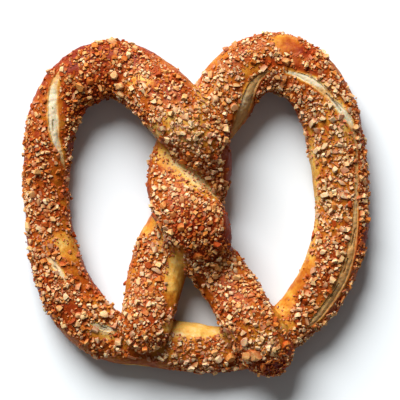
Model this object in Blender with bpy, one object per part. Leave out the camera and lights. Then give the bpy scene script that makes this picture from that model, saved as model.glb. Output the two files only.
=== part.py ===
"""A soft twisted pretzel covered in chopped nuts, lying flat as it was baked, made as one solid.

One rope of dough runs from the left end, which lies on the bottom bar, up through the twist, round the left
lobe, along the bottom bar, round the right lobe and back through the twist to the right end.
X is to the right, Y points from the bottom bar to the lobes, Z is up, and the tray is at Z 0.
"""

import random

import bmesh
import bpy
import numpy as np
from mathutils import Matrix, Vector, noise
from mathutils.kdtree import KDTree

MM = 0.001

# The rope's section: its height is a share of its width, and it has flattened sides
HEIGHT_SHARE = 0.84
SECTION_POWER = 2.25
SECTION_POINTS = 40
# Dough sinks into the tray by this share of its half height, which gives the flat base
SINK_SHARE = 0.24
STEPS_PER_SPAN = 4
# Length of the rounding at each end, and how near its tip the rope is cut off blunt
END_ROUND = 11.0
END_BLUNT = 0.97

# How far the middle of the rope is lifted, or squashed, where two strands cross
OVER = 11.5
UNDER = -1.2

# The rope's route in mm: x, y, half the width, lift
ROUTE = [
    (-26.0, -70.0, 11.0, 8.5),
    (-24.5, -61.0, 12.2, 10.0),
    (-21.5, -46.5, 13.5, 6.0),
    (-18.3, -33.0, 14.2, 0.5),
    (-14.2, -20.0, 14.5, UNDER),
    (-6.0, -8.0, 14.2, UNDER),
    (1.5, 4.5, 13.4, UNDER),
    (4.3, 17.5, 13.2, 4.0),
    (1.5, 31.0, 14.4, OVER),
    (-7.5, 42.0, 15.6, OVER),
    (-16.8, 52.3, 15.3, 7.5),
    (-28.0, 61.0, 14.6, 1.5),
    (-40.5, 65.3, 14.0, 0.0),
    (-52.4, 61.8, 14.2, 0.0),
    (-62.2, 54.0, 13.2, 0.0),
    (-68.3, 40.0, 12.7, 0.0),
    (-71.2, 23.0, 12.0, 0.0),
    (-71.6, 6.0, 11.4, 0.0),
    (-70.4, -10.5, 11.4, 0.0),
    (-67.1, -26.5, 12.5, 0.0),
    (-60.8, -43.2, 13.5, 0.0),
    (-50.4, -56.9, 13.4, 0.0),
    (-38.5, -63.8, 12.4, UNDER),
    (-26.0, -66.2, 11.6, UNDER),
    (-14.0, -67.2, 12.2, 0.0),
    (-2.0, -68.6, 12.0, 0.0),
    (9.5, -69.6, 11.2, 0.0),
    (21.5, -69.0, 11.0, UNDER),
    (34.0, -64.8, 11.4, UNDER),
    (46.3, -56.2, 11.6, 0.0),
    (57.2, -44.2, 13.0, 0.0),
    (66.3, -26.5, 13.4, 0.0),
    (70.2, -8.0, 13.3, 0.0),
    (69.7, 8.0, 13.6, 0.0),
    (68.2, 24.0, 14.0, 0.0),
    (64.0, 43.5, 14.5, 0.0),
    (56.0, 58.3, 14.6, 0.0),
    (43.2, 67.6, 14.4, 0.0),
    (29.5, 67.0, 14.5, 0.0),
    (18.6, 58.7, 15.1, 0.0),
    (11.8, 48.6, 15.2, 0.0),
    (4.0, 38.0, 15.0, UNDER),
    (-3.6, 29.0, 14.6, UNDER),
    (-8.5, 19.5, 13.7, 1.5),
    (-9.5, 9.0, 13.9, 6.5),
    (-5.8, -1.5, 15.0, OVER),
    (1.2, -10.8, 15.7, OVER),
    (5.5, -24.4, 12.8, 6.0),
    (11.8, -33.0, 12.7, 1.5),
    (18.5, -43.0, 13.1, 3.5),
    (25.0, -54.0, 13.2, 9.0),
    (32.0, -65.0, 13.2, 8.0),
    (39.2, -80.8, 12.0, 2.0),
]

# Where the crust has burst open, as seen from above, in mm: x, y, half the width of the opening
LEFT_BURST = [
    (-64.5, 63.0, 0.7),
    (-67.5, 56.0, 2.1),
    (-68.5, 48.0, 2.3),
    (-68.0, 39.5, 2.6),
    (-67.0, 33.0, 2.1),
    (-65.0, 24.5, 1.4),
    (-62.5, 15.5, 0.5),
]
RIGHT_BURST = [
    (16.0, 33.0, 0.5),
    (20.5, 40.0, 1.9),
    (23.0, 47.5, 2.4),
    (25.0, 55.5, 2.2),
    (29.0, 61.5, 1.7),
    (35.0, 65.0, 1.1),
    (43.0, 63.0, 0.8),
    (50.0, 61.0, 1.3),
    (56.0, 58.0, 1.8),
    (61.0, 54.0, 1.9),
    (68.5, 47.5, 1.8),
    (72.5, 41.0, 1.7),
    (76.0, 30.0, 1.2),
    (77.0, 16.5, 0.8),
    (76.5, -0.5, 0.8),
    (76.0, -12.0, 1.5),
    (73.0, -24.5, 2.1),
    (70.0, -37.5, 2.4),
    (64.0, -47.5, 1.9),
    (56.5, -56.0, 0.5),
]
LOWER_BURST = [
    (-49.0, -56.0, 0.6),
    (-44.0, -57.8, 1.5),
    (-39.0, -59.2, 0.7),
]
LOWER_SCAR = [
    (-69.0, -25.0, 0.5),
    (-66.5, -28.5, 1.1),
    (-64.0, -32.0, 0.5),
]
BURSTS = [LEFT_BURST, RIGHT_BURST, LOWER_BURST, LOWER_SCAR]
BURST_DEPTH = 1.7
BURST_SHOULDER = 1.35
BURST_LIP = 0.15
BURST_STEPS = 6

# Dough rises unevenly: (size of the bumps, height of the bumps), in mm
UNEVENNESS = [(13.0, 0.7), (6.0, 0.28)]

FUSE_SIZE = 1.0
FUSE_SMOOTHING = 5
FUSE_SOFTNESS = 0.5
CRUST_TRIANGLES = 3900

# Patches of bare crust, as seen from above, in mm: x, y, half length, half width, turn in degrees
BARE_PATCHES = [
    (39.0, 76.0, 9.0, 4.0, -10.0),
    (47.5, -50.0, 13.0, 5.0, 55.0),
    (54.5, -33.0, 13.0, 4.0, 65.0),
    (-5.0, -55.5, 11.0, 4.0, -8.0),
    (-9.0, -40.0, 12.0, 5.0, 75.0),
    (-59.5, 20.0, 16.0, 4.0, 90.0),
    (-57.0, -20.0, 14.0, 4.5, -60.0),
    (-3.0, 13.0, 17.0, 4.0, -38.0),
    (-26.0, -77.0, 16.0, 3.5, -8.0),
    (-22.5, 14.0, 11.0, 2.5, 90.0),
    (16.5, 20.0, 10.0, 2.5, 90.0),
    (-60.0, 72.0, 12.0, 3.5, 40.0),
]

# The larger nut pieces, in mm
NUT_COUNT = 190
NUT_LARGEST = 6.6
NUT_SMALLEST = 3.8
NUT_SPACING = 8.0
NUT_PROPORTIONS = (1.0, 0.82, 0.66)
NUT_UNEVENNESS = 0.16
NUT_SINK = 0.08
NUT_LEAN = 0.4
NUT_LOWEST = 4.5
NUT_STEEPEST = 0.05
NUT_TRIES = 60000
SEED = 7

CRUST_COLOUR = (0.52, 0.19, 0.045, 1.0)
CRUST_ROUGHNESS = 0.45

TRAY_CUT_SIZE = 400.0
TRAY_CUT_DEPTH = 40.0


def clear_scene():
    for obj in list(bpy.data.objects):
        bpy.data.objects.remove(obj)


def link(name, data):
    obj = bpy.data.objects.new(name, data)
    bpy.context.scene.collection.objects.link(obj)
    return obj


def smooth_path(points, steps):
    """Points on a smooth curve that passes through the given ones."""
    knots = np.array(points, float)
    knots = np.vstack([2 * knots[0] - knots[1], knots, 2 * knots[-1] - knots[-2]])
    gaps = np.sqrt(np.linalg.norm(np.diff(knots[:, :2], axis=0), axis=1))
    when = np.concatenate([[0.0], np.cumsum(gaps)])

    def between(a, b, start, end, now):
        return a + (b - a) * (now - start) / (end - start)

    path = []
    for i in range(1, len(knots) - 2):
        k0, k1, k2, k3 = knots[i - 1 : i + 3]
        t0, t1, t2, t3 = when[i - 1 : i + 3]
        for now in np.linspace(t1, t2, steps, endpoint=False):
            a = between(k0, k1, t0, t1, now)
            b = between(k1, k2, t1, t2, now)
            c = between(k2, k3, t2, t3, now)
            path.append(between(between(a, b, t0, t2, now), between(b, c, t1, t3, now), t1, t2, now))
    path.append(knots[-2])
    return np.array(path)


def rope_path():
    """The rope's middle line with its half width at each point: x, y, z, half width."""
    path = smooth_path(ROUTE, STEPS_PER_SPAN)
    run = np.concatenate([[0.0], np.cumsum(np.linalg.norm(np.diff(path[:, :2], axis=0), axis=1))])
    to_end = np.minimum(run, run[-1] - run)
    rounding = np.sqrt(1.0 - np.clip(1.0 - to_end / END_ROUND, 0.0, END_BLUNT) ** 2)
    half_width = path[:, 2]
    middle = half_width * HEIGHT_SHARE * (1.0 - SINK_SHARE) + path[:, 3]
    return np.column_stack([path[:, :2], middle, half_width * rounding])


def section_profile():
    """The rope's section for a half width of 1, as a closed curve."""
    curve = bpy.data.curves.new("section", "CURVE")
    spline = curve.splines.new("POLY")
    spline.points.add(SECTION_POINTS - 1)
    for point, turn in zip(spline.points, np.linspace(0, 2 * np.pi, SECTION_POINTS, endpoint=False)):
        across, up = np.cos(turn), np.sin(turn)
        x = np.sign(across) * abs(across) ** (2 / SECTION_POWER)
        y = np.sign(up) * abs(up) ** (2 / SECTION_POWER)
        point.co = (x * MM, y * HEIGHT_SHARE * MM, 0, 1)
    spline.use_cyclic_u = True
    profile = link("section", curve)
    profile.hide_render = True
    return profile


def rolled_rope():
    """The rope of dough along its whole route, running through itself where it crosses."""
    profile = section_profile()
    curve = bpy.data.curves.new("rope", "CURVE")
    curve.dimensions = "3D"
    curve.twist_mode = "Z_UP"
    curve.bevel_mode = "OBJECT"
    curve.bevel_object = profile
    curve.use_fill_caps = True
    spline = curve.splines.new("POLY")
    path = rope_path()
    spline.points.add(len(path) - 1)
    for point, (x, y, z, half_width) in zip(spline.points, path):
        point.co = (x * MM, y * MM, z * MM, 1)
        point.radius = half_width
    rope = link("rope", curve)
    mesh = evaluated_mesh(rope)
    bpy.data.objects.remove(rope)
    bpy.data.objects.remove(profile)
    return link("pretzel", mesh)


def evaluated_mesh(obj):
    bpy.context.view_layer.update()
    graph = bpy.context.evaluated_depsgraph_get()
    return bpy.data.meshes.new_from_object(obj.evaluated_get(graph))


def apply_modifiers(obj):
    mesh = evaluated_mesh(obj)
    obj.modifiers.clear()
    obj.data = mesh


def fuse(pretzel):
    """Makes the crossing strands one body, with the soft creases that baking leaves."""
    remesh = pretzel.modifiers.new("Fuse", "REMESH")
    remesh.mode = "VOXEL"
    remesh.voxel_size = FUSE_SIZE * MM
    smooth = pretzel.modifiers.new("Soften", "SMOOTH")
    smooth.factor = FUSE_SOFTNESS
    smooth.iterations = FUSE_SMOOTHING
    apply_modifiers(pretzel)


def burst_depth(x, y, bursts):
    """How deep a burst is at a place seen from above, in mm, and below zero on its raised lips."""
    gaps = np.hypot(bursts[:, 0] - x, bursts[:, 1] - y) / bursts[:, 2]
    nearest = gaps.min()
    if nearest < 1.0:
        return BURST_DEPTH * (1.0 - nearest**2)
    width = bursts[gaps.argmin(), 2]
    rise = max(0.0, 1.0 - abs(nearest - BURST_SHOULDER) / (BURST_SHOULDER - 1.0))
    return -BURST_LIP * width * rise


def shape_surface(pretzel):
    """Gives the dough its uneven rise and opens the bursts in its upper side."""
    bursts = np.vstack([smooth_path(run, BURST_STEPS) for run in BURSTS])
    mesh = pretzel.data
    normals = [vertex.normal.copy() for vertex in mesh.vertices]
    for vertex, normal in zip(mesh.vertices, normals):
        place = vertex.co / MM
        rise = sum(height * noise.noise(place / size) for size, height in UNEVENNESS)
        if normal.z > 0:
            rise -= burst_depth(place.x, place.y, bursts)
        vertex.co += normal * (rise * MM)


def lay_on_tray(pretzel):
    """Simplifies the surface, then cuts it off flat where the dough lay on the tray."""
    decimate = pretzel.modifiers.new("Simplify", "DECIMATE")
    decimate.ratio = CRUST_TRIANGLES / (2 * len(pretzel.data.polygons))
    decimate.use_collapse_triangulate = True
    apply_modifiers(pretzel)
    cutter_mesh = bpy.data.meshes.new("tray")
    shape = bmesh.new()
    size = Vector((TRAY_CUT_SIZE, TRAY_CUT_SIZE, TRAY_CUT_DEPTH)) * MM
    place = Matrix.Translation((0, 0, -size.z / 2)) @ Matrix.Diagonal((*size, 1))
    bmesh.ops.create_cube(shape, size=1.0, matrix=place)
    shape.to_mesh(cutter_mesh)
    shape.free()
    cutter = link("tray", cutter_mesh)
    cut = pretzel.modifiers.new("Flat base", "BOOLEAN")
    cut.operation = "DIFFERENCE"
    cut.object = cutter
    apply_modifiers(pretzel)
    bpy.data.objects.remove(cutter)


def is_bare(x, y):
    """Whether a place seen from above, in mm, is a patch of crust that has no nuts."""
    for patch_x, patch_y, half_length, half_width, turn in BARE_PATCHES:
        offset = Matrix.Rotation(-np.radians(turn), 2) @ Vector((x - patch_x, y - patch_y))
        if (offset.x / half_length) ** 2 + (offset.y / half_width) ** 2 < 1.0:
            return True
    return False


def nut_places(pretzel, draw):
    """Places on the crust for the nut pieces, the largest first: (point, normal, size in mm)."""
    mesh = pretzel.data
    mesh.calc_loop_triangles()
    bursts = np.vstack([smooth_path(run, BURST_STEPS) for run in BURSTS])
    faces = [face for face in mesh.loop_triangles if face.normal.z > NUT_STEEPEST]
    chosen = draw.choices(faces, weights=[face.area for face in faces], k=NUT_TRIES)
    places = []
    for face in chosen:
        if len(places) == NUT_COUNT:
            break
        size = NUT_LARGEST - (NUT_LARGEST - NUT_SMALLEST) * len(places) / NUT_COUNT
        corners = [mesh.vertices[i].co for i in face.vertices]
        u, v = sorted((draw.random(), draw.random()))
        point = corners[0] * u + corners[1] * (v - u) + corners[2] * (1 - v)
        place = point / MM
        if place.z < NUT_LOWEST or is_bare(place.x, place.y):
            continue
        if burst_depth(place.x, place.y, bursts) != 0.0:
            continue
        if all((point - other).length > NUT_SPACING * MM for other, _, _ in places):
            places.append((point, face.normal.copy(), size))
    return places


def nut_piece(point, normal, size, draw):
    """One chopped nut piece: an angular chip with few sides, lying askew and half sunk in the crust."""
    mesh = bpy.data.meshes.new("nut")
    shape = bmesh.new()
    bmesh.ops.create_icosphere(shape, subdivisions=1, radius=size / 2 * MM)
    for vertex in shape.verts:
        vertex.co *= 1.0 + draw.uniform(-NUT_UNEVENNESS, NUT_UNEVENNESS)
    lean = Vector((draw.uniform(-NUT_LEAN, NUT_LEAN), draw.uniform(-NUT_LEAN, NUT_LEAN), 0.0))
    stand = (normal + lean).to_track_quat("Z", "Y").to_matrix().to_4x4()
    sunk = point - normal * (NUT_SINK * size * MM)
    place = Matrix.Translation(sunk) @ stand @ Matrix.Rotation(draw.uniform(0, 2 * np.pi), 4, "Z")
    bmesh.ops.transform(shape, matrix=place @ Matrix.Diagonal((*NUT_PROPORTIONS, 1)), verts=shape.verts)
    shape.to_mesh(mesh)
    shape.free()
    return mesh


def fuse_nuts(pretzel):
    """Joins the nut pieces to the crust in one union."""
    draw = random.Random(SEED)
    nuts = bpy.data.collections.new("nuts")
    bpy.context.scene.collection.children.link(nuts)
    for point, normal, size in nut_places(pretzel, draw):
        nuts.objects.link(bpy.data.objects.new("nut", nut_piece(point, normal, size, draw)))
    union = pretzel.modifiers.new("Nuts", "BOOLEAN")
    union.operation = "UNION"
    union.operand_type = "COLLECTION"
    union.collection = nuts
    union.solver = "MANIFOLD"
    apply_modifiers(pretzel)
    for obj in list(nuts.objects):
        bpy.data.objects.remove(obj)
    bpy.data.collections.remove(nuts)


def keep_one_body(pretzel):
    """Drops loose scraps: only the largest connected piece stays."""
    shape = bmesh.new()
    shape.from_mesh(pretzel.data)
    left = set(shape.verts)
    bodies = []
    while left:
        edge = [left.pop()]
        body = set(edge)
        while edge:
            for link_edge in edge.pop().link_edges:
                for vertex in link_edge.verts:
                    if vertex not in body:
                        body.add(vertex)
                        edge.append(vertex)
        left -= body
        bodies.append(body)
    largest = max(bodies, key=len)
    bmesh.ops.delete(shape, geom=[v for v in shape.verts if v not in largest], context="VERTS")
    shape.to_mesh(pretzel.data)
    shape.free()


def crust_material():
    material = bpy.data.materials.new("baked crust with chopped nuts")
    material.use_nodes = True
    shader = material.node_tree.nodes["Principled BSDF"]
    shader.inputs["Base Color"].default_value = CRUST_COLOUR
    shader.inputs["Roughness"].default_value = CRUST_ROUGHNESS
    shader.inputs["Metallic"].default_value = 0.0
    return material


def main():
    clear_scene()
    pretzel = rolled_rope()
    fuse(pretzel)
    shape_surface(pretzel)
    lay_on_tray(pretzel)
    fuse_nuts(pretzel)
    keep_one_body(pretzel)
    pretzel.data.materials.clear()
    pretzel.data.materials.append(crust_material())


main()
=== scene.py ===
"""A soft twisted pretzel covered in chopped nuts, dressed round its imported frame.

The dough is one rope with burst seams. The nuts lie on it in four kinds, each kind one piece.
Routes, patches and nut sizes are in millimetres, and Blender's own lengths are in metres.
"""

import logging
import math
from collections.abc import Iterator
from dataclasses import dataclass
from enum import Enum

import bmesh
import bpy
import numpy as np
from mathutils import Matrix, Vector, noise


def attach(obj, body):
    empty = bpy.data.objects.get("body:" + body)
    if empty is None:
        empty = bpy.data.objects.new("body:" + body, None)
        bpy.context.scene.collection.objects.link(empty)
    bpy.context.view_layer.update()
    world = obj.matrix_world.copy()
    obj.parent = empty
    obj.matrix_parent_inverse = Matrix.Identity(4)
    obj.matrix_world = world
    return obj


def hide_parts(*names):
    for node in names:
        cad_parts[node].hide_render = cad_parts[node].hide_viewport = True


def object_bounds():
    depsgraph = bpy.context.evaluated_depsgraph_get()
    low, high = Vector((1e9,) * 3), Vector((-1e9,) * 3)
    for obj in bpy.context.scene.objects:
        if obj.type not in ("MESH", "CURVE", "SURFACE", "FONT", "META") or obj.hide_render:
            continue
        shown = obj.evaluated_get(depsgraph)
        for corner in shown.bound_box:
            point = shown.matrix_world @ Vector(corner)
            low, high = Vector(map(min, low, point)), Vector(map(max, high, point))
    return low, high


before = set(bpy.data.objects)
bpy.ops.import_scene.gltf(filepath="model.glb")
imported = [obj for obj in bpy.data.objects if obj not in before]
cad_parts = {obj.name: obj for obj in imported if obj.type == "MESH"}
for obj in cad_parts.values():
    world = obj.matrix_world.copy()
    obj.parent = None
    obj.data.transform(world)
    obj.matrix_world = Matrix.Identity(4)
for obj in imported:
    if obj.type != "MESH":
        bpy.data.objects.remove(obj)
CAD_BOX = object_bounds()

LOG = logging.getLogger("pretzel")

Array = np.ndarray
Object = bpy.types.Object
Socket = bpy.types.NodeSocket
Stops = tuple[tuple[float, tuple[float, ...]], ...]
Runs = tuple[tuple[tuple[float, float, float], ...], ...]
Edge = tuple[float, float]

MM = 0.001
BODY = "root"
NODE = "pretzel"

# How many points are compared with the whole rope at once
PART = 20000

# Further than any gap on the pretzel, in mm
FAR = 1000.0

# Between these slopes the surface turns from its side to its upper side
UPPER_EDGE = (-0.1, 0.15)

# Where a patch ends and where it holds in full, as shares of its half length and half width
PATCH_EDGE = (1.35, 0.65)

# How a screen's values follow from linear light
SCREEN_OFFSET = 0.055
SCREEN_POWER = 2.4

# How much thinner the bare rope is than the route's width, which counts the nuts on it
NUT_ROOM = 0.4

# How far the middle of the rope is lifted, or squashed, where two strands cross
OVER = 11.5
UNDER = -1.2

# The rope's route: x, y, half the width, lift
ROUTE: tuple[tuple[float, float, float, float], ...] = (
    (-26, -70, 11, 8.5), (-24.5, -61, 12.2, 10), (-21.5, -46.5, 13.5, 6),
    (-18.3, -33, 14.2, 0.5), (-14.2, -20, 14.5, UNDER), (-6, -8, 14.2, UNDER),
    (1.5, 4.5, 13.4, UNDER), (4.3, 17.5, 13.2, 4), (1.5, 31, 14.4, OVER),
    (-7.5, 42, 15.6, OVER), (-16.8, 52.3, 15.3, 7.5), (-28, 61, 14.6, 1.5),
    (-40.5, 65.3, 14, 0), (-52.4, 61.8, 14.2, 0), (-62.2, 54, 13.2, 0),
    (-68.3, 40, 12.7, 0), (-71.2, 23, 12, 0), (-71.6, 6, 11.4, 0),
    (-70.4, -10.5, 11.4, 0), (-67.1, -26.5, 12.5, 0), (-60.8, -43.2, 13.5, 0),
    (-50.4, -56.9, 13.4, 0), (-38.5, -63.8, 12.4, UNDER), (-26, -66.2, 11.6, UNDER),
    (-14, -67.2, 12.2, 0), (-2, -68.6, 12, 0), (9.5, -69.6, 11.2, 0),
    (21.5, -69, 11, UNDER), (34, -64.8, 11.4, UNDER), (46.3, -56.2, 11.6, 0),
    (57.2, -44.2, 13, 0), (66.3, -26.5, 13.4, 0), (70.2, -8, 13.3, 0),
    (69.7, 8, 13.6, 0), (68.2, 24, 14, 0), (64, 43.5, 14.5, 0),
    (56, 58.3, 14.6, 0), (43.2, 67.6, 14.4, 0), (29.5, 67, 14.5, 0),
    (18.6, 58.7, 15.1, 0), (11.8, 48.6, 15.2, 0), (4, 38, 15, UNDER),
    (-3.6, 29, 14.6, UNDER), (-8.5, 19.5, 13.7, 1.5), (-9.5, 9, 13.9, 6.5),
    (-5.8, -1.5, 15, OVER), (1.2, -10.8, 15.7, OVER), (5.5, -24.4, 12.8, 6),
    (11.8, -33, 12.7, 1.5), (18.5, -43, 13.1, 3.5), (25, -54, 13.2, 9),
    (32, -65, 13.2, 8), (39.2, -80.8, 12, 2),
)

# Where the crust has burst open, seen from above: x, y, half the width of the opening
BURSTS: Runs = (
    (
        (-65.2, 63.4, 0.5), (-67.4, 58.5, 1.5), (-68.3, 53, 2), (-68.3, 45.8, 2.1),
        (-67.9, 37.2, 2.1), (-66.8, 30.5, 1.6), (-64.8, 24.8, 1), (-62.8, 17.6, 0.4),
    ),
    (
        (16.8, 31.5, 0.5), (19.5, 37.2, 1.5), (22, 42.4, 2.1), (23.8, 47.6, 2.4),
        (25.6, 52.8, 2.3), (27.6, 57.2, 1.9), (30.7, 60.9, 1.3), (35, 63.8, 0.5),
    ),
    (
        (42.5, 63.4, 0.4), (47.5, 62.4, 0.9), (53, 60.2, 1.5), (58.2, 57, 1.6),
        (62.2, 53.2, 1.2), (64.8, 50.2, 0.8), (68, 46.8, 1.4), (72, 42.4, 1.4),
        (74.8, 37.4, 1), (76.6, 30, 0.7), (77.2, 16.5, 0.8), (77, 4, 0.8),
        (76.6, -4, 1), (76.1, -11.4, 1.4), (75, -18.8, 1.8), (73.4, -26.1, 2),
        (71.2, -33.4, 2.1), (68.4, -39.6, 2), (64.8, -45.7, 1.9), (60.5, -51.2, 1.7),
        (56.4, -55.9, 1.2), (53.6, -58.8, 0.5),
    ),
    (
        (-50.4, -56.6, 0.4), (-46.3, -58.2, 1.1), (-42.6, -59.3, 1.3), (-38.2, -60.2, 0.5),
    ),
    (
        (-71.2, -25.4, 0.4), (-67.8, -28.4, 1.3), (-65.2, -31.6, 1.2), (-63, -35, 0.6),
        (-61.6, -37.8, 0.3),
    ),
)

# The fissures inside the bursts, cut in and painted dark as shade, seen from above: x, y, half the width
FISSURES: Runs = (
    ((-68.3, 46.3, 0.08), (-68.2, 45.5, 0.08)),
    ((-68.2, 40.4, 0.12), (-68.2, 37.8, 0.2), (-68, 35.4, 0.12)),
    ((62.6, 53, 0.15), (66.6, 48.8, 0.34), (69.6, 44.8, 0.2)),
    ((76.7, -11.6, 0.15), (75.4, -17.2, 0.3), (74.6, -20, 0.15)),
    ((72.9, -26, 0.15), (72.2, -29.4, 0.28), (71.3, -32.4, 0.12)),
    ((68.9, -38, 0.12), (66.8, -41.6, 0.24), (64.2, -45.4, 0.12)),
    ((-45.4, -58.5, 0.12), (-42.6, -59.2, 0.2)),
    ((-67.4, -29.4, 0.15), (-65.8, -31.4, 0.15)),
)


@dataclass(frozen=True)
class Patch:
    """An oval place on the pretzel, seen from above, and how far it changes what it marks."""

    x: float
    y: float
    half_length: float
    half_width: float
    turn: float
    change: float

    def weight(self, places: Array) -> Array:
        """How strongly the patch holds at each place: 1 in its middle, 0 outside.

        Args:
            places: Points in mm, one a row.

        Returns:
            One weight from 0 to 1 for each point.
        """
        angle = math.radians(self.turn)
        east = places[:, 0] - self.x
        north = places[:, 1] - self.y
        along = east * math.cos(angle) + north * math.sin(angle)
        across = north * math.cos(angle) - east * math.sin(angle)
        reach = np.hypot(along / self.half_length, across / self.half_width)
        return smooth_step(*PATCH_EDGE, reach)


def patches(*rows: tuple[float, ...]) -> tuple[Patch, ...]:
    """Patches, each from one row of their values."""
    return tuple(Patch(*row) for row in rows)


# Where the crust turns pale along the fold between the crossed strands
FOLD = Patch(-4.5, 14.5, 24.0, 9.0, -36.0, 0.42)

# Patches where the crust is paler (below 0) or darker (above 0) than the rest: mostly its baking, some
# painted light and shade
BAKE_AND_SHADE_PATCHES = patches(
    # The left lobe and the strand below it
    (-74.8, 56.2, 9, 4, 62, 0.12), (-60, 72, 14, 5, 42, 0.18),
    # The first patch on the next line darkens the left lobe's top: partly browner bake, partly painted shade
    # that tones down the key light on it
    (-38, 74.5, 24, 7, 6, 0.26), (-68.2, 41.5, 14, 2.4, 92, -0.42),
    (-67, 55, 6, 2.2, 76, -0.26), (-64.6, 26, 8, 2, 110, -0.3),
    (-64.3, 41, 12, 2, 88, -0.08), (-58.5, 64.2, 4, 2.6, 10, 0.34),
    (-50, 52, 14, 8.6, 40, 0.45), (-27.3, 59.3, 7.5, 3.4, -12, -0.28),
    (-20, 34.8, 5, 4, 0, -0.34), (-70, 25, 22, 10, 90, 0.1),
    (-65.9, 14.6, 13, 4.5, 100, -0.05), (-62.8, -13.9, 6, 3, -75, -0.08),
    (-61, -20.6, 9.5, 5, -60, -0.15), (-68.3, -19.4, 6.5, 4.5, -60, -0.12),
    (-53.6, -35.9, 11, 5, -58, 0.16), (-44.4, -49.4, 6.5, 3.4, -45, -0.24),
    (-59.8, -50, 5.5, 2.8, -10, 0.3), (-61.6, -54.2, 4.5, 2.4, -45, -0.05),
    (-66.5, -30.5, 7, 2.4, -50, -0.3), (-70, -46, 15, 4, -55, 0.22),
    (-44.5, -59.2, 7, 2.4, -16, -0.34), (-45.1, -62.4, 8, 2.2, -12, -0.26),
    (-26, -75, 18, 4, -6, 0.02), (-26.7, -78, 9, 0.9, -7, -0.4),
    # The strand that runs under, down to the left
    (-24, 62, 16, 8, -35, 0.07), (-4, 36, 15, 10, -40, -0.34),
    (2, 53, 8, 3, -70, -0.26), (-22, -9.5, 6.5, 3.5, 60, -0.24),
    (-16.8, -17.6, 4.6, 3.4, 20, -0.22), (-9, -31, 12, 5.4, 82, -0.27),
    (-12.4, -48, 7, 3.4, 76, -0.08), (-31.4, -36, 14, 2.4, 75, -0.06),
    (-32.2, -47.5, 5, 3, 50, -0.22),
    # The strand that runs over, down to the right
    (2, -14.6, 13, 11, -50, 0.24), (15.6, -12.6, 12, 3, -85, 0.3),
    (-15.7, 22.2, 7, 3.8, -42, -0.32), (-22, 2, 13, 2.2, 92, 0.14),
    (-0.4, 12.8, 16, 1.8, -37, -0.24), (5, 6.6, 9, 2.6, -37, -0.2),
    (-5, 12.2, 8, 3, -37, -0.2), (21.9, -32.2, 7, 3.4, -45, -0.16),
    (25, -49, 5, 3, 0, -0.14), (5.7, -42, 12, 2.4, -62, 0.02),
    (44, -57.9, 3.6, 3.6, 0, -0.26), (32, -66, 11, 8, -40, -0.22),
    (20.1, -72.6, 4, 2.4, 10, 0.3), (39.6, -77, 9, 7, 0, 0.32),
    # The bar along the bottom
    (-1.6, -59.6, 16, 4.4, -4, -0.29), (-4.7, -64, 13, 2.4, -5, -0.16),
    # The last patch on the next line is painted light: it makes the bar's lower side, which faces away from
    # the key light, paler
    (15.2, -63.4, 5, 3.2, 0, -0.22), (0, -72, 22, 5, 0, -0.24),
    # The right lobe and the strand below it
    (14, 52, 12, 9, 60, -0.12), (63, 20, 36, 11, 97, -0.25),
    (44.6, 76.4, 9, 5, -12, -0.02), (52.9, 73.7, 3, 2.6, 0, 0.28),
    (26.2, 64.4, 5.6, 2.8, 25, -0.08), (24, 70, 16, 7, 25, -0.1),
    # The first patch on the next line is a painted shadow: the dark line under the burst's overhanging lip
    (45, 65.6, 15, 1.8, -12, 0.24), (25.4, 54, 9, 3, 65, -0.12),
    (19.6, 38, 8, 3.4, 62, 0.02), (54, 60.2, 14, 2.2, -22, -0.34),
    (70, 46, 10, 2.4, -55, -0.32), (71.6, 34, 9, 2.8, -72, -0.2),
    (15.5, 20.7, 12, 3.2, 88, 0.2), (57.2, 8, 26, 2.6, 92, -0.12),
    (76.2, 2, 16, 1.6, 92, -0.1), (70.6, -33, 24, 3.6, 64, 0),
    (79.8, -17, 12, 3, 78, 0.22), (56.4, -19, 8, 2.6, 80, -0.18),
    (53, -29.2, 7.5, 5.2, 60, -0.15), (51.6, -34.4, 4, 2.4, 50, 0.16),
    (46.8, -38.6, 8, 4, 58, -0.03), (42.6, -48.1, 7.5, 5.2, 60, -0.18),
)

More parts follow.
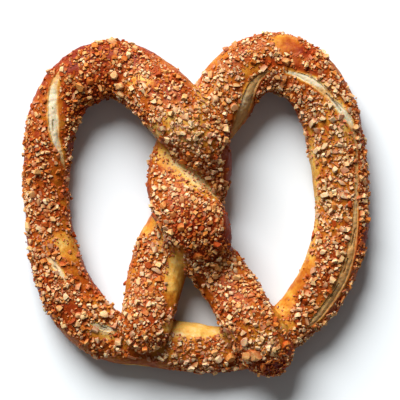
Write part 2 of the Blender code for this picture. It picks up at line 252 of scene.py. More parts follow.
# Patches where few or no nuts stuck
BARE_PATCHES = patches(
    # The left lobe and the strand below it
    (-74.8, 56.2, 10, 3.6, 62, 0.88), (-60, 74, 16, 4.4, 42, 0.8),
    (-20.6, 72.6, 13, 2.4, -38, 0.85), (-5.3, 59.6, 6.5, 1.8, -48, 0.85),
    (-64.3, 41, 13, 2.4, 88, 0.85), (-72.3, 47.5, 11, 2.4, 84, 0.7),
    (-58.5, 64.2, 4, 2.4, 10, 0.85), (-27.3, 59.3, 7, 2.6, -12, 0.7),
    (-20.4, 34.8, 5, 3.6, 0, 0.85), (-15.7, 27, 7, 2.6, -45, 0.88),
    (-65.9, 14.6, 13, 4.2, 100, 0.82), (-62.4, 8, 19, 2.6, 92, 0.78),
    (-63, -3.8, 10, 2.6, 90, 0.75), (-61, -20.6, 10, 5, -60, 0.88),
    (-68.3, -19.4, 6, 4, -60, 0.62), (-53.6, -35.9, 12, 5, -58, 0.86),
    (-59.8, -50, 5, 2.6, -10, 0.85), (-61.6, -54.2, 4, 2.4, -45, 0.85),
    (-45.1, -62.6, 7.5, 2, -12, 0.8), (-56.5, -67.5, 18, 2.6, -40, 0.9),
    (-27, -77, 19, 4.2, -7, 0.96),
    # The strand that runs under, down to the left
    (2, 53, 7, 1.8, -70, 0.5), (-22.4, -9.5, 6.5, 3.4, 60, 0.95),
    (-16.8, -17.6, 4, 3, 20, 0.8), (-9.6, -36, 17, 5.4, 82, 0.96),
    (-31.6, -36, 14, 1.8, 75, 0.75),
    # The strand that runs over, down to the right
    (-22.2, 4, 12, 1.6, 90, 0.9), (15.6, -12.6, 12, 2.8, -85, 0.9),
    (5.5, -42, 12, 2, -62, 0.9), (24.4, -57.9, 7, 1.8, -8, 0.7),
    (44, -57.9, 3.2, 3.2, 0, 0.85), (20.1, -72.6, 3, 2, 10, 0.6),
    (-2, 13.8, 20, 2.8, -37, 0.85), (-14.8, 21.6, 7, 4.4, -42, 0.72),
    (-5, 12.4, 8, 3.4, -37, 0.75), (8, 5, 7, 2.4, -37, 0.75),
    # The bar along the bottom
    (-1.6, -59.4, 16, 4.2, -5, 0.97), (-4.7, -64.2, 13, 2, -5, 0.72),
    (15.2, -63.4, 4.6, 3, 0, 0.78),
    # The right lobe and the strand below it
    (43.6, 77.4, 8, 4.6, -10, 0.95), (50.4, 72.6, 6, 4, -30, 0.8),
    (45, 65.4, 14, 1.4, -12, 0.85), (10.3, 70.2, 15, 2.8, 44, 0.9),
    (26.2, 64.6, 5.6, 2.8, 25, 0.9), (69.5, 64.6, 13, 2, -52, 0.85),
    (15.9, 20.7, 12, 3, 88, 0.92), (56.4, 8, 26, 2.6, 92, 0.85),
    (72.4, 36, 8, 1.8, -72, 0.6), (55.8, -19, 8, 2.2, 80, 0.82),
    (52.6, -29.2, 8, 4.8, 60, 0.92), (46.6, -38.6, 9, 4.8, 58, 0.95),
    (42.4, -48.1, 8, 5, 60, 0.93),
)

# The rounded pieces of nut that stand out: x, y, size, tone
BEADS: tuple[tuple[float, float, float, float], ...] = (
    (-35.8, 55.6, 4.6, 0.35), (-35.9, 53, 4.2, 0.3), (-39.2, 61.7, 4, 0.3),
    (-55.4, 55.6, 4.4, 0.55), (-51, 58, 4.4, 0.75), (43.9, 68.4, 4.6, 0.45),
    (18.9, 46.4, 4.6, 0.3), (9.1, 50.2, 4.4, 0.15), (66, 16.6, 3.6, 0.05),
    (-56.7, -53.7, 3.4, 0.25), (-53.6, -54.2, 3.2, 0.25), (-43.2, -52.4, 4.2, 0.2),
    (-7.7, -11.4, 4.4, 0.6), (0.9, -24.9, 4.6, 0.6), (-15.6, -0.4, 3.8, 0.55),
    (28.1, -72, 6.4, 0.4), (25, -72.8, 5.2, 0.45), (22.6, -78, 4.2, 0.5),
    (17, -73.9, 5.2, 0.55), (43.9, -67, 6, 0.65), (31.7, -77.5, 4.8, 0.75),
    (11.5, -74.5, 4, 0.05), (23.8, -65.9, 5.4, 0.05), (80, -4, 3.6, 0.3),
    (77, 37, 3.6, 0.3),
)


def smooth_step(start: float, end: float, values: Array) -> Array:
    """A soft step from 0 at start to 1 at end, which may lie below start."""
    share = np.clip((values - start) / (end - start), 0.0, 1.0)
    return share * share * (3.0 - 2.0 * share)


def upward(normals: Array) -> Array:
    """1 where the surface faces up, 0 where it faces the floor or the side."""
    return smooth_step(*UPPER_EDGE, normals[:, 2])


def parts(count: int) -> Iterator[slice]:
    """The slices that cut a long list of points into parts."""
    return (slice(start, start + PART) for start in range(0, count, PART))


def smooth_path(points: tuple[tuple[float, ...], ...], steps: int) -> Array:
    """Points on a smooth curve that passes through the given ones.

    Args:
        points: Rows that start with x and y; the other values follow the same curve.
        steps: How many points each span gets.

    Returns:
        The curve's rows.
    """
    knots = np.array(points, float)
    knots = np.vstack([2 * knots[0] - knots[1], knots, 2 * knots[-1] - knots[-2]])
    gaps = np.sqrt(np.linalg.norm(np.diff(knots[:, :2], axis=0), axis=1))
    when = np.concatenate([[0.0], np.cumsum(gaps)])

    def between(a: Array, b: Array, start: float, end: float, now: float) -> Array:
        """The row that lies between two others at one moment."""
        return a + (b - a) * (now - start) / (end - start)

    path = []
    for i in range(1, len(knots) - 2):
        k0, k1, k2, k3 = knots[i - 1 : i + 3]
        t0, t1, t2, t3 = when[i - 1 : i + 3]
        for now in np.linspace(t1, t2, steps, endpoint=False):
            a = between(k0, k1, t0, t1, now)
            b = between(k1, k2, t1, t2, now)
            c = between(k2, k3, t2, t3, now)
            path.append(between(between(a, b, t0, t2, now), between(b, c, t1, t3, now), t1, t2, now))
    path.append(knots[-2])
    return np.array(path)


@dataclass(frozen=True)
class Wave:
    """Soft random unevenness that is the same on each run: its height, its size in mm, its shift."""

    height: float
    size: float
    shift: float = 0.0

    def at(self, places: Array) -> Array:
        """The unevenness at each place in mm, about -height to height."""
        shifted = (places / self.size + self.shift).tolist()
        return self.height * np.array([noise.noise(place) for place in shifted])


def waves(places: Array, layers: tuple[Wave, ...], start: float | Array = 0.0) -> Array:
    """Several waves at each place in mm, added to a start."""
    return sum((layer.at(places) for layer in layers), start)


class Bench:
    """Small jobs with Blender's operators on one object at a time."""

    @staticmethod
    def clear_selection() -> None:
        """Deselects everything, the frame's own nodes included."""
        for obj in bpy.context.selected_objects:
            obj.select_set(False)

    @staticmethod
    def activate(obj: Object) -> None:
        """Selects one object alone and makes it the active one."""
        Bench.clear_selection()
        obj.select_set(True)
        bpy.context.view_layer.objects.active = obj

    @staticmethod
    def place(name: str, data: bpy.types.ID) -> Object:
        """Makes an object from its data and links it to the scene."""
        made = bpy.data.objects.new(name, data)
        bpy.context.scene.collection.objects.link(made)
        return made

    @staticmethod
    def shade(obj: Object, angle: float) -> None:
        """Shades an object smooth where its faces meet at less than an angle in degrees."""
        Bench.activate(obj)
        bpy.ops.object.shade_smooth_by_angle(angle=math.radians(angle))

    @staticmethod
    def apply_modifier(obj: Object, name: str, kind: str, **values: object) -> None:
        """Adds a modifier, sets it and applies it.

        Args:
            obj: The object that gets it.
            name: The modifier's name.
            kind: Blender's word for the kind of modifier.
            **values: The modifier's settings.
        """
        modifier = obj.modifiers.new(name, kind)
        for key, value in values.items():
            setattr(modifier, key, value)
        Bench.activate(obj)
        bpy.ops.object.modifier_apply(modifier=name)

    @staticmethod
    def arrays(mesh: bpy.types.Mesh) -> tuple[Array, Array, Array]:
        """A mesh's points in mm, its normals and its triangles as arrays."""
        mesh.calc_loop_triangles()
        places = np.empty(len(mesh.vertices) * 3)
        mesh.vertices.foreach_get("co", places)
        normals = np.empty(len(mesh.vertices) * 3)
        mesh.vertices.foreach_get("normal", normals)
        triangles = np.empty(len(mesh.loop_triangles) * 3, np.int32)
        mesh.loop_triangles.foreach_get("vertices", triangles)
        return places.reshape(-1, 3) / MM, normals.reshape(-1, 3), triangles.reshape(-1, 3)

    @staticmethod
    def paint(mesh: bpy.types.Mesh, name: str, values: Array) -> None:
        """Keeps one number for each point of a mesh, for its material to read."""
        layer = mesh.attributes.new(name, "FLOAT", "POINT")
        layer.data.foreach_set("value", values.astype(np.float32))

    @staticmethod
    def register(piece: Object, slot: str) -> None:
        """Makes a finished piece part of the frame.

        Args:
            piece: The piece, with its place in its mesh.
            slot: Not used.
        """
        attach(piece, BODY)
        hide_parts(NODE)
        piece.data.calc_loop_triangles()
        LOG.info("%s: %d triangles", piece.name, len(piece.data.loop_triangles))


class NodeBench:
    """Builds one shader node tree."""

    def __init__(self, tree: bpy.types.NodeTree) -> None:
        """Keeps the tree that the nodes go into."""
        self.tree = tree

    def add(self, kind: str, **values: object) -> bpy.types.Node:
        """Adds a node and sets its properties.

        Args:
            kind: The node's type, without its ShaderNode.
            **values: The node's properties.

        Returns:
            The node.
        """
        node = self.tree.nodes.new(f"ShaderNode{kind}")
        for key, value in values.items():
            setattr(node, key, value)
        return node

    def link(self, output: Socket, target: Socket) -> None:
        """Joins two sockets."""
        self.tree.links.new(output, target)

    def feed(self, node: bpy.types.Node, **inputs: object) -> bpy.types.Node:
        """Gives a node's inputs their values or what feeds them.

        Args:
            node: The node.
            **inputs: Sockets by name, with an underscore for a space, or by place, such as at_1.

        Returns:
            The same node.
        """
        for key, value in inputs.items():
            place = int(key[3:]) if key.startswith("at_") else key.replace("_", " ")
            socket = node.inputs[place]
            if isinstance(value, Socket):
                self.link(value, socket)
            else:
                socket.default_value = value
        return node

    def math(self, operation: str, first: object, second: object, clamp: bool = False) -> Socket:
        """One sum on two values or sockets, which stays from 0 to 1 if clamped."""
        node = self.add("Math", operation=operation, use_clamp=clamp)
        return self.feed(node, at_0=first, at_1=second).outputs[0]

    def attribute(self, name: str) -> Socket:
        """The socket of a number kept on the mesh."""
        return self.add("Attribute", attribute_name=name).outputs["Fac"]

    def mix(self, factor: object, first: object, second: object) -> Socket:
        """Two colours mixed; the factor is the share of the second."""
        node = self.add("Mix", data_type="RGBA")
        return self.feed(node, at_0=factor, at_6=first, at_7=second).outputs[2]

    def ramp(self, value: Socket, stops: Stops) -> Socket:
        """A value turned into a colour.

        Args:
            value: The value's socket.
            stops: Places from 0 to 1, each with its colour.

        Returns:
            The colour's socket.
        """
        node = self.add("ValToRGB")
        elements = node.color_ramp.elements
        while len(elements) < len(stops):
            elements.new(0.5)
        for element, (place, colour) in zip(elements, stops):
            element.position = place
            element.color = colour
        return self.feed(node, at_0=value).outputs[0]


def new_material(name: str) -> tuple[bpy.types.Material, NodeBench]:
    """A new material with its node bench."""
    made = bpy.data.materials.new(name)
    made.use_nodes = True
    return made, NodeBench(made.node_tree)


def colour(*screen: float) -> tuple[float, ...]:
    """A colour as seen on a screen, its three parts 0 to 255, as Blender's linear values."""
    shares = [(part / 255.0 + SCREEN_OFFSET) / (1.0 + SCREEN_OFFSET) for part in screen]
    return (*(share**SCREEN_POWER for share in shares), 1.0)


def mottling_group() -> bpy.types.NodeTree:
    """The shared effect of uneven colour: a soft noise about zero.

    Returns:
        The node group, which is built once.
    """
    name = "Mottling"
    if name in bpy.data.node_groups:
        return bpy.data.node_groups[name]
    tree = bpy.data.node_groups.new(name, "ShaderNodeTree")
    bench = NodeBench(tree)
    tree.interface.new_socket("Vector", in_out="INPUT", socket_type="NodeSocketVector")
    for label, start in (("Scale", 100.0), ("Detail", 2.0), ("Amount", 0.2)):
        socket = tree.interface.new_socket(label, in_out="INPUT", socket_type="NodeSocketFloat")
        socket.default_value = start
    tree.interface.new_socket("Value", in_out="OUTPUT", socket_type="NodeSocketFloat")
    given = tree.nodes.new("NodeGroupInput")
    result = tree.nodes.new("NodeGroupOutput")
    inputs = {label: given.outputs[label] for label in ("Vector", "Scale", "Detail")}
    pattern = bench.feed(bench.add("TexNoise"), **inputs)
    centred = bench.math("SUBTRACT", pattern.outputs[0], 0.5)
    bench.link(bench.math("MULTIPLY", centred, given.outputs["Amount"]), result.inputs[0])
    return tree


@dataclass(frozen=True)
class Mottle:
    """One use of the mottling: how fine it is, per metre, its finer layers and its strength."""

    scale: float
    detail: float
    amount: float

    def value(self, bench: NodeBench, where: Socket) -> Socket:
        """The socket of the mottling's value, which follows the coordinates in where."""
        node = bench.add("Group", node_tree=mottling_group())
        bench.feed(node, Vector=where, Scale=self.scale, Detail=self.detail, Amount=self.amount)
        return node.outputs[0]


@dataclass(frozen=True)
class Skin:
    """The kind of surface that dough and nuts share: finely bumpy, and light soaks into it.

    The two depths are in metres. Red light soaks in the furthest.
    """

    texture: Mottle
    bump: float
    bump_depth: float
    sheen: float
    glow: float = 0.34
    glow_depth: float = 0.0008
    glow_colours: tuple[float, float, float] = (1.0, 0.34, 0.1)

    def cover(self, bench: NodeBench, where: Socket, base: Socket, roughness: object) -> None:
        """Gives a material's shader its colour and this surface.

        Args:
            bench: The material's node bench.
            where: Its Object coordinates.
            base: The colour's socket.
            roughness: The roughness or its socket.
        """
        height = self.texture.value(bench, where)
        bump = bench.feed(bench.add("Bump"), Strength=self.bump, Distance=self.bump_depth, Height=height)
        shader = bench.tree.nodes["Principled BSDF"]
        bench.feed(shader, Base_Color=base, Roughness=roughness, Normal=bump.outputs[0])
        bench.feed(shader, Specular_IOR_Level=self.sheen, Subsurface_Weight=self.glow)
        bench.feed(shader, Subsurface_Scale=self.glow_depth, Subsurface_Radius=self.glow_colours)


@dataclass(frozen=True)
class CrustFinish:
    """Baked, glazed dough: golden to reddish brown, with pale crumb in the bursts and painted shade in their
    fissures.
    """

    name: str = "baked crust"
    stops: Stops = (
        (0.0, colour(197, 169, 118)),
        (0.18, colour(192, 148, 70)),
        (0.34, colour(178, 115, 34)),
        (0.52, colour(154, 78, 14)),
        (0.70, colour(132, 47, 7)),
        (1.0, colour(108, 25, 3)),
    )
    crumb_stops: Stops = (
        (0.08, colour(190, 178, 150)),
        (0.35, colour(186, 150, 100)),
        (0.6, colour(178, 124, 66)),
        (0.9, colour(146, 86, 36)),
    )
    # Painted shade: the dark colour inside the fissures
    fissure_shade: tuple[float, ...] = colour(104, 84, 56)
    broad: Mottle = Mottle(190.0, 4.0, 0.5)
    fine: Mottle = Mottle(800.0, 4.0, 0.34)
    grain: Mottle = Mottle(900.0, 4.0, 0.5)
    roughness: float = 0.46
    crumb_roughness: float = 0.85
    skin: Skin = Skin(Mottle(1100.0, 4.0, 1.0), 0.35, 0.0004, 0.1)

    def material(self) -> bpy.types.Material:
        """Builds the material.

        Returns:
            The material, which reads the crust's own attributes and Object coordinates.
        """
        made, bench = new_material(self.name)
        where = bench.add("TexCoord").outputs["Object"]
        # The browning, painted shade included, read off the mesh
        bake_and_shade_value = bench.attribute("bake")
        torn = bench.attribute("crumb")
        uneven = bench.math("ADD", self.broad.value(bench, where), self.fine.value(bench, where))
        crust = bench.ramp(bench.math("ADD", bake_and_shade_value, uneven, clamp=True), self.stops)
        grain = self.grain.value(bench, where)
        crumb = bench.ramp(bench.math("ADD", bake_and_shade_value, grain, clamp=True), self.crumb_stops)
        opened = bench.mix(torn, crust, crumb)
        # Painted shade in the fissures, laid over crust and crumb
        final = bench.mix(bench.attribute("fissure_shade"), opened, self.fissure_shade)
        rough = bench.add("Mix", data_type="FLOAT")
        bench.feed(rough, at_0=torn, at_2=self.roughness, at_3=self.crumb_roughness)
        self.skin.cover(bench, where, final, rough.outputs[0])
        return made


@dataclass(frozen=True)
class NutFinish:
    """Chopped nut flesh: cream to toasted tan, darker where it sits in the glaze, with painted shade on its
    lower sides.
    """

    name: str
    stops: Stops = (
        (0.0, colour(206, 179, 139)),
        (0.3, colour(200, 161, 108)),
        (0.62, colour(183, 112, 42)),
        (1.0, colour(138, 52, 11)),
    )
    # The glaze on the nuts, which also serves as painted shade on their lower sides
    soaked_and_shaded: tuple[float, ...] = colour(152, 57, 6)
    flecks: Mottle = Mottle(1300.0, 3.0, 0.5)
    soak_and_shade_edge: Mottle = Mottle(500.0, 2.0, 0.5)
    roughness: float = 0.65
    skin: Skin = Skin(Mottle(2600.0, 2.0, 1.0), 0.3, 0.0003, 0.12)

    def material(self) -> bpy.types.Material:
        """Builds the material.

        Returns:
            The material, which reads the pieces' own attributes and Object coordinates.
        """
        made, bench = new_material(self.name)
        where = bench.add("TexCoord").outputs["Object"]
        tone = bench.math("ADD", bench.attribute("tone"), self.flecks.value(bench, where), clamp=True)
        # How far the glaze and the painted shade reach up each piece
        soak_and_shade = bench.math("ADD", bench.attribute("soak_and_shade"), self.soak_and_shade_edge.value(bench, where), clamp=True)
        final = bench.mix(soak_and_shade, bench.ramp(tone, self.stops), self.soaked_and_shaded)
        self.skin.cover(bench, where, final, self.roughness)
        return made


@dataclass
class Dough:
    """The rope of dough and what can be read off it at any point, in mm.

    An edge is the pair of values between which a soft step runs.
    """

    height_share: float = 0.84
    section_power: float = 2.25
    section_points: int = 48
    sink_share: float = 0.24
    steps_per_span: int = 6
    burst_steps: int = 10
    fissure_steps: int = 16
    fissure_blur: float = 0.1
    end_round: float = 11.0
    end_blunt: float = 0.97
    own_reach: float = 45.0
    strand_share: float = 0.92
    bake_middle: float = 0.5
    bake_waves: tuple[Wave, ...] = (Wave(0.14, 16.0), Wave(0.08, 6.0, 31.0))
    palest: float = 0.02
    glaze_and_shade_under_nuts: float = 0.14
    underside: float = 0.08
    underside_edge: Edge = (0.1, -0.8)
    fold_edge: Edge = (4.5, 0.0)
    full_burst: float = 1.6
    bare_lip: float = 0.9
    burst_edge: Edge = (1.2, 1.0)
    crease_bareness: float = 0.85
    crease_edge: Edge = (2.8, 0.6)
    gap_wave: Wave = Wave(1.0, 3.8, 50.0)
    gap_edge: Edge = (-0.24, -0.34)

    def __post_init__(self) -> None:
        """Works out the rope's middle line and the bursts once."""
        path = smooth_path(ROUTE, self.steps_per_span)
        spans = np.linalg.norm(np.diff(path[:, :2], axis=0), axis=1)
        run = np.concatenate([[0.0], np.cumsum(spans)])
        to_end = np.minimum(run, run[-1] - run)
        rounding = np.sqrt(1.0 - np.clip(1.0 - to_end / self.end_round, 0.0, self.end_blunt) ** 2)
        height = path[:, 2] * self.height_share * (1.0 - self.sink_share) + path[:, 3]
        self.middle = np.column_stack([path[:, :2], height])
        self.half_width = (path[:, 2] - NUT_ROOM) * rounding
        self.run = run
        self.bursts = np.vstack([smooth_path(line, self.burst_steps) for line in BURSTS])
        self.fissures = np.vstack([smooth_path(line, self.fissure_steps) for line in FISSURES])

    def crease(self, places: Array) -> Array:
        """How far each place is from the nearest other strand, in mm, and below 0 inside it.

        Args:
            places: Points in mm, one a row.

        Returns:
            One distance for each point.
        """
        gaps = np.empty(len(places))
        for part in parts(len(places)):
            away = np.linalg.norm(places[part, None, :] - self.middle[None, :, :], axis=2)
            own = (away / self.half_width[None, :]).argmin(axis=1)
            other = np.abs(self.run[None, :] - self.run[own][:, None]) > self.own_reach
            gap = np.where(other, away - self.strand_share * self.half_width[None, :], FAR)
            gaps[part] = gap.min(axis=1)
        return gaps

    @staticmethod
    def run_distance(places: Array, line: Array) -> tuple[Array, Array]:
        """How far each place is from a line seen from above.

        Args:
            places: Points in mm, one a row.
            line: The line's points, with half its width as the third value.

        Returns:
            The distance as a share of the half width, and that half width in mm.
        """
        share = np.empty(len(places))
        width = np.empty(len(places))
        for part in parts(len(places)):
            away = np.linalg.norm(places[part, None, :2] - line[None, :, :2], axis=2) / line[None, :, 2]
            nearest = away.argmin(axis=1)
            share[part] = away[np.arange(len(nearest)), nearest]
            width[part] = line[nearest, 2]
        return share, width

    def in_fissure(self, places: Array, edge: Edge) -> Array:
        """How deep in a crack each place lies: 0 outside its wall's edge, 1 inside."""
        share, width = self.run_distance(places, self.fissures)
        return smooth_step(*edge, share * width / (width + self.fissure_blur))

    def bake(self, places: Array, normals: Array) -> Array:
        """How brown the crust is at each place, with its painted shade, 0 for pale dough to 1 for dark
        brown.

        Args:
            places: Points in mm, one a row.
            normals: The surface's direction at each point.

        Returns:
            One value for each point.
        """
        value = waves(places, self.bake_waves, self.bake_middle)
        # Darker where nuts cover the crust: partly its glaze, partly painted shade between the nuts
        value += self.glaze_and_shade_under_nuts * (1.0 - self.bareness(places))
        value += self.underside * smooth_step(*self.underside_edge, normals[:, 2])
        for patch in BAKE_AND_SHADE_PATCHES:
            value += patch.change * patch.weight(places)
        value -= FOLD.change * FOLD.weight(places) * smooth_step(*self.fold_edge, self.crease(places))
        return np.clip(value, self.palest, 1.0)

    def bareness(self, places: Array) -> Array:
        """How bare of nuts each place is, 0 for covered to 1 for bare.

        Args:
            places: Points in mm, one a row.

        Returns:
            One value for each point.
        """
        bare = np.zeros(len(places))
        for patch in BARE_PATCHES:
            bare = np.maximum(bare, patch.change * patch.weight(places))
        share, width = self.run_distance(places, self.bursts)
        lip = self.bare_lip * np.minimum(1.0, width / self.full_burst) ** 2
        bare = np.maximum(bare, smooth_step(*self.burst_edge, share * width / (width + lip)))
        return np.maximum(bare, self.crease_bareness * smooth_step(*self.crease_edge, self.crease(places)))

    def gap(self, places: Array) -> Array:
        """Where small gaps between the nuts lie: 1 in a gap, 0 outside."""
        return smooth_step(*self.gap_edge, self.gap_wave.at(places))


@dataclass
class Crust:
    """The dough's surface as one piece, with its unevenness, bursts, browning and painted shade.

    Heights and sizes are in mm. An edge is the pair of values between which a soft step runs.
    """

    dough: Dough
    voxel: float = 0.81
    smoothing: int = 6
    softness: float = 0.5
    smooth_angle: float = 50.0
    refined_margin: float = 0.75
    swell: tuple[Wave, ...] = (Wave(0.7, 13.0), Wave(0.28, 6.0))
    pimples: tuple[Wave, ...] = (Wave(0.3, 2.6, 11.0), Wave(0.16, 1.5, 13.0))
    burst_rim: float = 0.55
    burst_middle: float = 0.15
    burst_edge: Edge = (1.08, 0.92)
    burst_lip: float = 0.25
    lip_place: float = 1.22
    lip_width: float = 0.16
    tear: Wave = Wave(0.12, 1.3, 5.0)
    fibre: Wave = Wave(0.06, 1.0, 7.0)
    fibre_stretch: tuple[float, float, float] = (1.0, 0.35, 1.0)
    fissure_depth: float = 0.7
    fissure_edge: Edge = (1.5, 0.5)
    base_edge: Edge = (0.0, 1.5)
    crumb_waves: tuple[Wave, ...] = (Wave(0.3, 2.2, 3.0), Wave(0.2, 1.0, 9.0))
    crumb_edge: Edge = (1.36, 0.76)
    fissure_shade_edge: Edge = (1.4, 0.7)
    broken_wave: Wave = Wave(1.0, 1.7, 21.0)
    broken_edge: Edge = (-0.3, 0.05)
    fissure_shade_strength: float = 0.85

    def build(self) -> Object:
        """Makes the crust.

        Returns:
            The crust, not yet riding on its body.
        """
        piece = self.rolled()
        Bench.apply_modifier(piece, "Fuse", "REMESH", mode="VOXEL", voxel_size=self.voxel * MM)
        Bench.apply_modifier(piece, "Soften", "SMOOTH", factor=self.softness, iterations=self.smoothing)
        self.refine_bursts(piece)
        self.cut_base(piece)
        self.relief(piece)
        self.brown(piece)
        Bench.shade(piece, self.smooth_angle)
        piece.data.materials.clear()
        piece.data.materials.append(CrustFinish().material())
        return piece

    def rolled(self) -> Object:
        """The rope along its whole route, running through itself where it crosses.

        Returns:
            The rope as a mesh object.
        """
        Bench.clear_selection()
        section = bpy.data.curves.new("section", "CURVE")
        spline = section.splines.new("POLY")
        turns = np.linspace(0, 2 * np.pi, self.dough.section_points, endpoint=False)
        spline.points.add(len(turns) - 1)
        for point, turn in zip(spline.points, turns):
            across, up = (
                math.copysign(abs(value) ** (2 / self.dough.section_power), value)
                for value in (math.cos(turn), math.sin(turn))
            )
            point.co = (across * MM, up * self.dough.height_share * MM, 0, 1)
        spline.use_cyclic_u = True
        profile = Bench.place("section", section)
        curve = bpy.data.curves.new("dough_crust", "CURVE")
        curve.dimensions = "3D"
        curve.twist_mode = "Z_UP"
        curve.bevel_mode = "OBJECT"
        curve.bevel_object = profile
        curve.use_fill_caps = True
        spline = curve.splines.new("POLY")
        spline.points.add(len(self.dough.middle) - 1)
        for point, place, half_width in zip(spline.points, self.dough.middle, self.dough.half_width):
            point.co = (*(place * MM), 1)
            point.radius = half_width
        piece = Bench.place("dough_crust", curve)
        Bench.activate(piece)
        bpy.ops.object.convert(target="MESH")
        piece = bpy.context.view_layer.objects.active
        bpy.data.objects.remove(profile)
        return piece

    def refine_bursts(self, piece: Object) -> None:
        """Gives the bursts a finer mesh than the rest.

        Args:
            piece: The crust.
        """
        places, normals, _ = Bench.arrays(piece.data)
        share, width = self.dough.run_distance(places, self.dough.bursts)
        near = (share * width < width + self.refined_margin) & (normals[:, 2] > 0.0)
        shape = bmesh.new()
        shape.from_mesh(piece.data)
        for vertex, chosen in zip(shape.verts, near):
            vertex.select = bool(chosen)
        shape.select_flush(True)
        edges = [edge for edge in shape.edges if edge.select]
        bmesh.ops.subdivide_edges(shape, edges=edges, cuts=1, use_grid_fill=True)
        bmesh.ops.triangulate(shape, faces=[face for face in shape.faces if len(face.verts) > 4])
        shape.to_mesh(piece.data)
        shape.free()

    def cut_base(self, piece: Object) -> None:
        """Cuts the dough off flat where it lay on the tray.

        Args:
            piece: The crust.
        """
        Bench.activate(piece)
        bpy.ops.object.mode_set(mode="EDIT")
        bpy.ops.mesh.select_all(action="SELECT")
        bpy.ops.mesh.bisect(plane_co=(0, 0, 0), plane_no=(0, 0, -1), use_fill=False, clear_outer=True)
        bpy.ops.mesh.select_all(action="DESELECT")
        bpy.ops.mesh.select_mode(type="EDGE")
        bpy.ops.mesh.select_non_manifold()
        bpy.ops.mesh.fill(use_beauty=True)
        bpy.ops.mesh.select_all(action="SELECT")
        bpy.ops.mesh.normals_make_consistent(inside=False)
        bpy.ops.object.mode_set(mode="OBJECT")

    def relief(self, piece: Object) -> None:
        """Raises the dough unevenly and opens its bursts.

        Args:
            piece: The crust.
        """
        places, normals, _ = Bench.arrays(piece.data)
        upper = upward(normals)
        share, width = self.dough.run_distance(places, self.dough.bursts)
        strength = np.minimum(1.0, width / self.dough.full_burst)
        bed = self.burst_rim + (self.burst_middle - self.burst_rim) * (1.0 - np.minimum(share, 1.0) ** 2)
        bed += self.tear.at(places) + self.fibre.at(places * self.fibre_stretch)
        inside = smooth_step(*self.burst_edge, share)
        lip = self.burst_lip * np.exp(-(((share - self.lip_place) / self.lip_width) ** 2)) * strength
        rise = waves(places, self.swell)
        rise += waves(places, self.pimples)
        rise += upper * (lip - inside * bed * strength)
        rise -= upper * self.fissure_depth * self.dough.in_fissure(places, self.fissure_edge)
        rise *= smooth_step(*self.base_edge, places[:, 2])
        moved = np.clip((places + normals * rise[:, None]) * MM, CAD_BOX[0], CAD_BOX[1])
        piece.data.vertices.foreach_set("co", moved.ravel())
        piece.data.update()

    def brown(self, piece: Object) -> None:
        """Keeps on the mesh how brown it is, with its painted shade, where its crumb shows, and the painted
        shade in its fissures.

        Args:
            piece: The crust.
        """
        places, normals, _ = Bench.arrays(piece.data)
        upper = upward(normals)
        share, _ = self.dough.run_distance(places, self.dough.bursts)
        ragged = waves(places, self.crumb_waves, share)
        # The fissures are painted dark as shade, in broken lengths
        dark = self.dough.in_fissure(places, self.fissure_shade_edge)
        broken = smooth_step(*self.broken_edge, self.broken_wave.at(places))
        Bench.paint(piece.data, "bake", self.dough.bake(places, normals))
        Bench.paint(piece.data, "crumb", upper * smooth_step(*self.crumb_edge, ragged))
        Bench.paint(piece.data, "fissure_shade", upper * dark * broken * self.fissure_shade_strength)


class NutKind(Enum):
    """The kinds of nut piece, each by the name of its piece in the scene."""

    BEADS = "nut_beads"
    CHUNKS = "nut_chunks"
    CHIPS = "nut_chips"
    CRUMBS = "nut_crumbs"


@dataclass(frozen=True)
class NutCut:
    """How one kind of nut piece is chopped and strewn, with sizes in mm."""

    kind: NutKind
    smallest: float
    largest: float
    count: int
    templates: int
    cuts: int
    proportions: tuple[tuple[float, float, float], ...]
    tilt: float
    spacing: float
    tone: float
    tone_spread: float
    seed: int
    second_layer: float = 0.0
    smooth_angle: float = 20.0
    gap_share: float = 1.0
    cut_depths: tuple[float, float] = (0.26, 0.44)


LUMP = (1.0, 0.86, 0.72)
CUBE = (1.0, 0.92, 0.84)
FLAKE = (1.0, 0.76, 0.36)
WEDGE = (1.0, 0.62, 0.5)
SLIVER = (1.0, 0.42, 0.34)
ROUND = (1.0, 0.88, 0.76)

NUT_CUTS: tuple[NutCut, ...] = (
    NutCut(
        kind=NutKind.BEADS, smallest=2.4, largest=3.4, count=12, templates=20, cuts=9,
        proportions=(ROUND, LUMP), tilt=0.35, spacing=0.44, tone=0.55, tone_spread=0.2, seed=11,
        smooth_angle=24.0, cut_depths=(0.27, 0.42),
    ),
    NutCut(
        kind=NutKind.CHUNKS, smallest=2.4, largest=4.2, count=150, templates=24, cuts=7,
        proportions=(LUMP, WEDGE, FLAKE), tilt=0.4, spacing=0.4, tone=0.22, tone_spread=0.34, seed=12,
    ),
    NutCut(
        kind=NutKind.CHIPS, smallest=1.5, largest=2.9, count=2300, templates=40, cuts=5,
        proportions=(LUMP, CUBE, FLAKE, WEDGE, SLIVER), tilt=0.55, spacing=0.36, tone=0.3, tone_spread=0.5,
        seed=13, second_layer=0.06,
    ),
    NutCut(
        kind=NutKind.CRUMBS, smallest=0.7, largest=1.5, count=5400, templates=32, cuts=3,
        proportions=(LUMP, CUBE, FLAKE, SLIVER), tilt=0.8, spacing=0.34, tone=0.34, tone_spread=0.5, seed=14,
        second_layer=0.06, gap_share=0.7,
    ),
)


